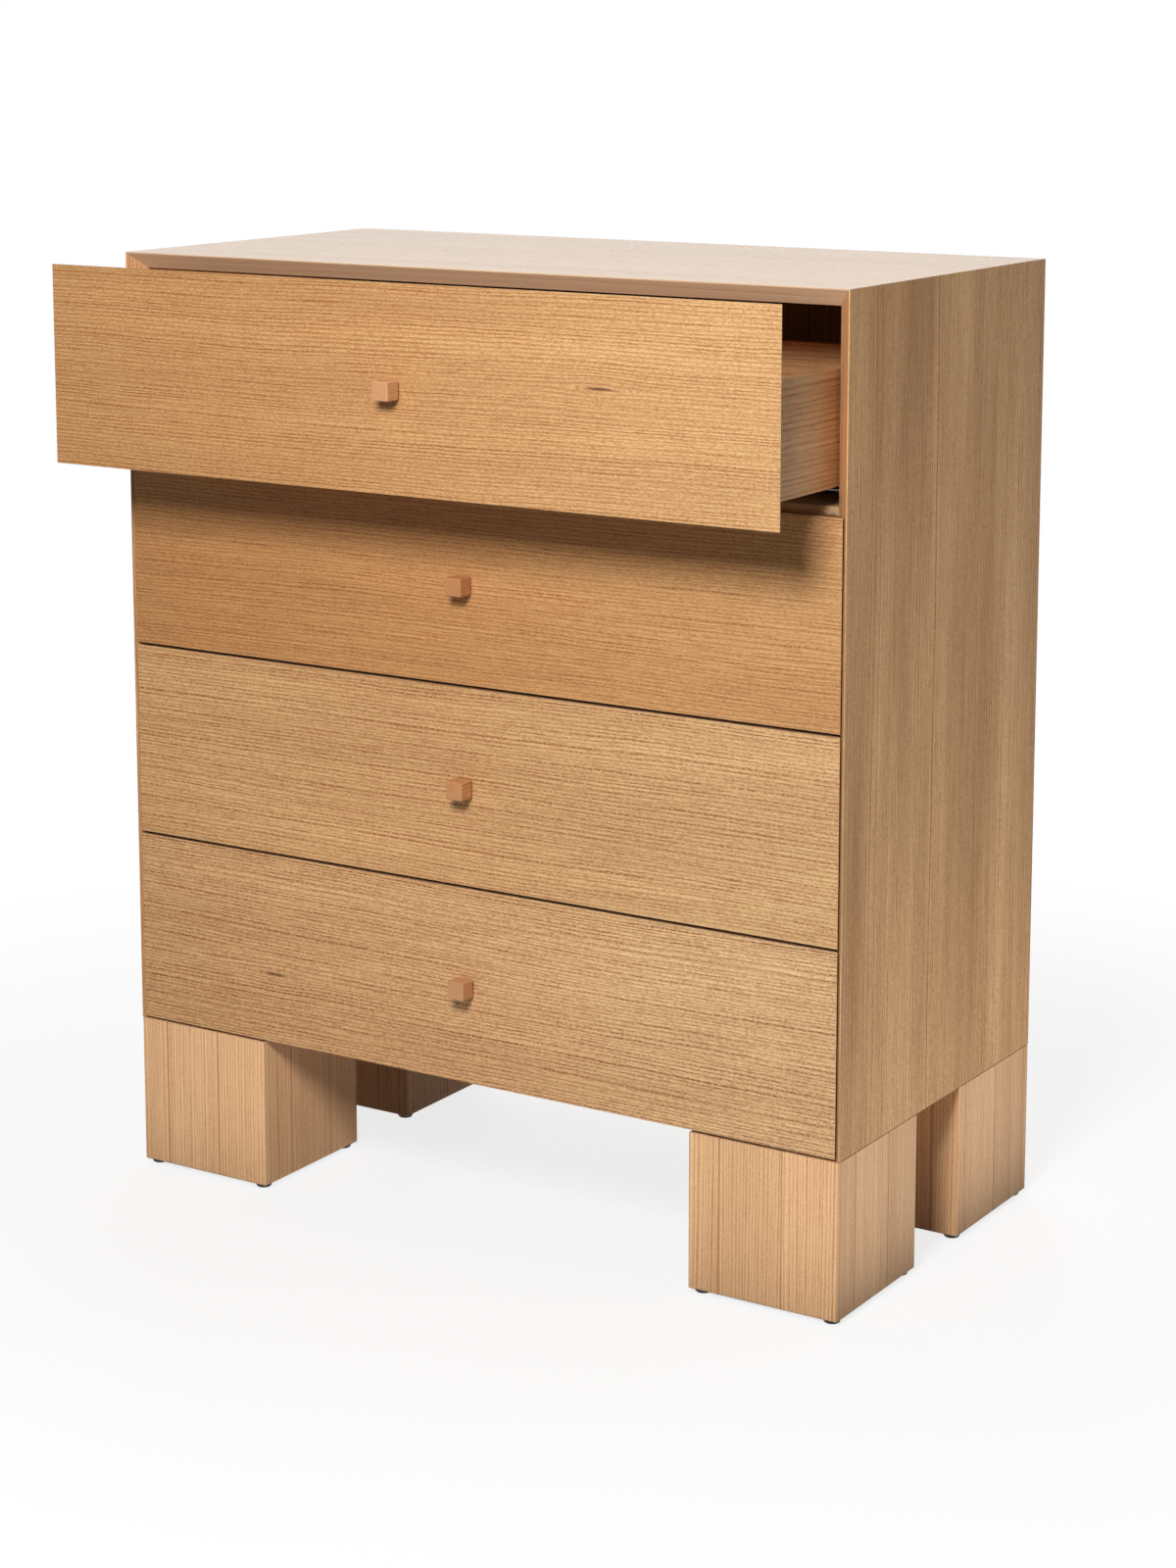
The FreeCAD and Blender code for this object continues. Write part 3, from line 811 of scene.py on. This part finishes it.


# Soft-close runners of folded, zinc-plated sheet carry each drawer from below: one
# member screwed to the case, one under the drawer and a tube between them.

# painted shade: the runners' zinc is tinted darker than plain plating, for the shade they lie in under the
# drawers
zinc_darkened_as_shade = (0.30, 0.30, 0.31, 1)
runner_steel = plated_steel("zinc_plated_runners", "Y", "Z", zinc_darkened_as_shade, 0.26, (0.2, 0.5, 0.3))
dress("cabinet_runners", runner_steel)
for number in fronts:
    dress("drawer_%d_runners" % number, runner_steel)
    dress("drawer_%d_middle_runners" % number, runner_steel)
flange_rise = 0.034
flange_face = 0.4375
flange_screw_radius = 0.0036
flange_screw_height = 0.0012
flange_screw_places = (-0.150, -0.022, 0.100)
heads = bmesh.new()
for number in fronts:
    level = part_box("drawer_%d_front" % number)[0][2] + flange_rise
    for side in (-1, 1):
        inwards = Vector((-side, 0, 0))
        for y in flange_screw_places:
            place = Vector((side * flange_face, y, level))
            turn = 9 * y + number
            screw_head(heads, place, inwards, flange_screw_radius, flange_screw_height, turn)
runner_screws = new_piece("runner_screws", heads, fastener_steel)
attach(runner_screws, "case")


# Two clips behind each box front lock the drawer on to its runners. They are moulded
# in grey plastic, and a squeeze of their levers lets the drawer go.

clip_grey = (0.16, 0.165, 0.17, 1)
clip_worn = (0.30, 0.30, 0.31, 1)
clip_plastic = moulded_plastic("grey_runner_clips", clip_grey, clip_worn, 0.40)
for number in fronts:
    dress("drawer_%d_clips" % number, clip_plastic)


# The room is a pale floor under white. One soft key lamp stands ahead and to the right,
# with weaker lamps overhead, to the right and behind on the left. Two flat lamps on the
# floor stand for the light that a white floor throws back.

def background_seen(tree):
    """Whether a ray is one that should meet plain white: from the camera, off a gloss or through glass."""
    path = tree.nodes.new("ShaderNodeLightPath").outputs
    seen = calc(tree, "MAXIMUM", path["Is Camera Ray"], path["Is Glossy Ray"])
    return calc(tree, "MAXIMUM", seen, path["Is Transmission Ray"])


def mix_shaders(tree, share, first, second):
    """Mixes two shaders, from all first at a share of 0 to all second at 1."""
    made = add(tree, "MixShader", {"Fac": share})
    tree.links.new(first.outputs[0], made.inputs[1])
    tree.links.new(second.outputs[0], made.inputs[2])
    return made.outputs["Shader"]


bpy.context.scene.view_settings.view_transform = "Standard"
world = bpy.data.worlds.new("white_room")
bpy.context.scene.world = world
world.use_nodes = True
sky = world.node_tree
sky.nodes.clear()
soft = add(sky, "Background", {"Color": (1.0, 0.98, 0.96, 1), "Strength": 0.03})
white = add(sky, "Background", {"Color": (1, 1, 1, 1), "Strength": 1.0})
sky_shader = mix_shaders(sky, background_seen(sky), soft, white)
sky.links.new(sky_shader, sky.nodes.new("ShaderNodeOutputWorld").inputs["Surface"])

floor_half_width = 14.0
shadow_from = 0.7
shadow_to = 1.6
white_share_by_chest = 0.80
floor_paint, tree = start_material("pale_floor")
seen = background_seen(tree)
grey_to_light = (0.13, 0.13, 0.13, 1)
pale_to_eye = (0.90, 0.90, 0.90, 1)
matt = add(tree, "BsdfDiffuse", {"Color": blend(tree, seen, grey_to_light, pale_to_eye)})
glow = add(tree, "Emission", {"Color": (1, 1, 1, 1), "Strength": 1.0})
away = vector_calc(tree, "LENGTH", own_place(tree))
open_floor = eased(tree, away, shadow_from, shadow_to, white_share_by_chest, 1.0)
floor_shader = mix_shaders(tree, calc(tree, "MULTIPLY", seen, open_floor), matt, glow)
tree.links.new(floor_shader, tree.nodes.new("ShaderNodeOutputMaterial").inputs["Surface"])
boards = bmesh.new()
bmesh.ops.create_grid(boards, x_segments=1, y_segments=1, size=floor_half_width)
floor_mesh = bpy.data.meshes.new("floor")
boards.to_mesh(floor_mesh)
boards.free()
floor_mesh.materials.append(floor_paint)
floor = bpy.data.objects.new("floor", floor_mesh)
bpy.context.scene.collection.objects.link(floor)


def soft_lamp(name, place, aim, width, height, power, shines=True):
    """A flat soft lamp that stands at place and faces aim. It is never in the picture itself."""
    lamp = bpy.data.lights.new(name, "AREA")
    lamp.shape = "RECTANGLE"
    lamp.size = width
    lamp.size_y = height
    lamp.energy = power
    holder = bpy.data.objects.new(name, lamp)
    holder.location = place
    holder.rotation_euler = (Vector(place) - Vector(aim)).to_track_quat("Z", "Y").to_euler()
    holder.visible_camera = False
    holder.visible_glossy = shines
    bpy.context.scene.collection.objects.link(holder)


soft_lamp("key", (0.78, -2.28, 2.02), (0.0, -0.2, 0.6), 0.70, 0.64, 71)
soft_lamp("overhead", (0.2, 1.0, 4.0), (0.0, 0.0, 0.9), 2.4, 2.4, 50, shines=False)
soft_lamp("right_fill", (3.4, 0.5, 1.2), (0.4, 0.0, 0.6), 2.0, 2.0, 9)
soft_lamp("back_fill", (-2.2, 3.0, 1.6), (-0.1, 0.1, 0.6), 2.0, 2.0, 66, shines=False)
soft_lamp("floor_glow_right", (0.90, 0.0, 0.004), (0.90, 0.0, 1.0), 0.70, 1.0, 3.0, shines=False)
soft_lamp("floor_glow_front", (0.0, -0.62, 0.004), (0.0, -0.62, 1.0), 1.2, 0.60, 1.5, shines=False)


# The camera stands ahead of the chest and to its right, a little above the top, and
# looks down by the tilt. A small shift keeps the chest in the frame.

camera_tilt = 9.226
camera_swing = 32.230
camera = bpy.data.cameras.new("camera")
camera.sensor_width = 36
camera.lens = 75.034
camera.shift_y = -0.16
stand = bpy.data.objects.new("camera", camera)
stand.location = (1.9357, -3.0521, 1.3419)
stand.rotation_euler = (math.radians(90 - camera_tilt), 0, math.radians(camera_swing))
bpy.context.scene.collection.objects.link(stand)
bpy.context.scene.camera = stand
